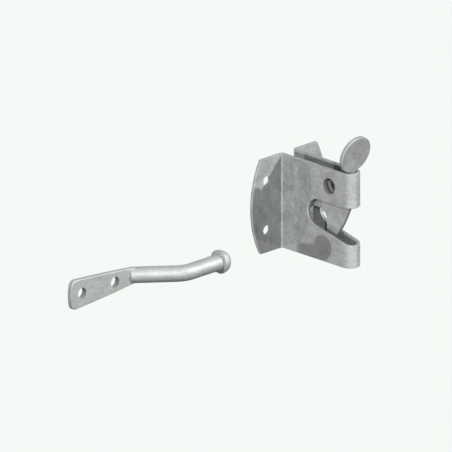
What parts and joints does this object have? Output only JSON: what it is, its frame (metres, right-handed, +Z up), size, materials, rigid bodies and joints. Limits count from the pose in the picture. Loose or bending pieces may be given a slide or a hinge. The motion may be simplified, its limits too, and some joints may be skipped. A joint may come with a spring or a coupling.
{
  "type": "automatic gate catch",
  "caption": "Folded sheet gate catch with a falling pawl, round thumb disc and padlock hole, shown with its cranked forged striker bar.",
  "frame": {"origin": "middle of the catch's mounting face, on the plane of symmetry of the catch, at the centre of its screw holes", "axes": "+X out of the gate post towards the nose of the catch, +Z up, the striker bar stands on the -Y side"},
  "size_m": [0.0618, 0.2332, 0.0836],
  "materials": {
    "galvanised_sheet": "hot-dip galvanised, mottled matt grey",
    "galvanised_pawl": "hot-dip galvanised, mottled matt grey",
    "galvanised_forging": "hot-dip galvanised over forged steel, pale satin grey",
    "plated_rivet": "zinc plated, dull"
  },
  "bodies": {
    "catch": {"catch_body": "galvanised_sheet", "pivot_rivet": "plated_rivet", "spacer_near": "plated_rivet", "spacer_far": "plated_rivet", "striker_bar": "galvanised_forging"},
    "pawl": {"pawl": "galvanised_pawl", "thumb_disc": "galvanised_pawl"}
  },
  "joints": [
    {"name": "pawl_pivot", "type": "hinge", "parent": "catch", "child": "pawl", "pos_m": [0.0138, 0, 0.0008], "axis": [0, -1, 0], "range_deg": [0, 38]}
  ]
}
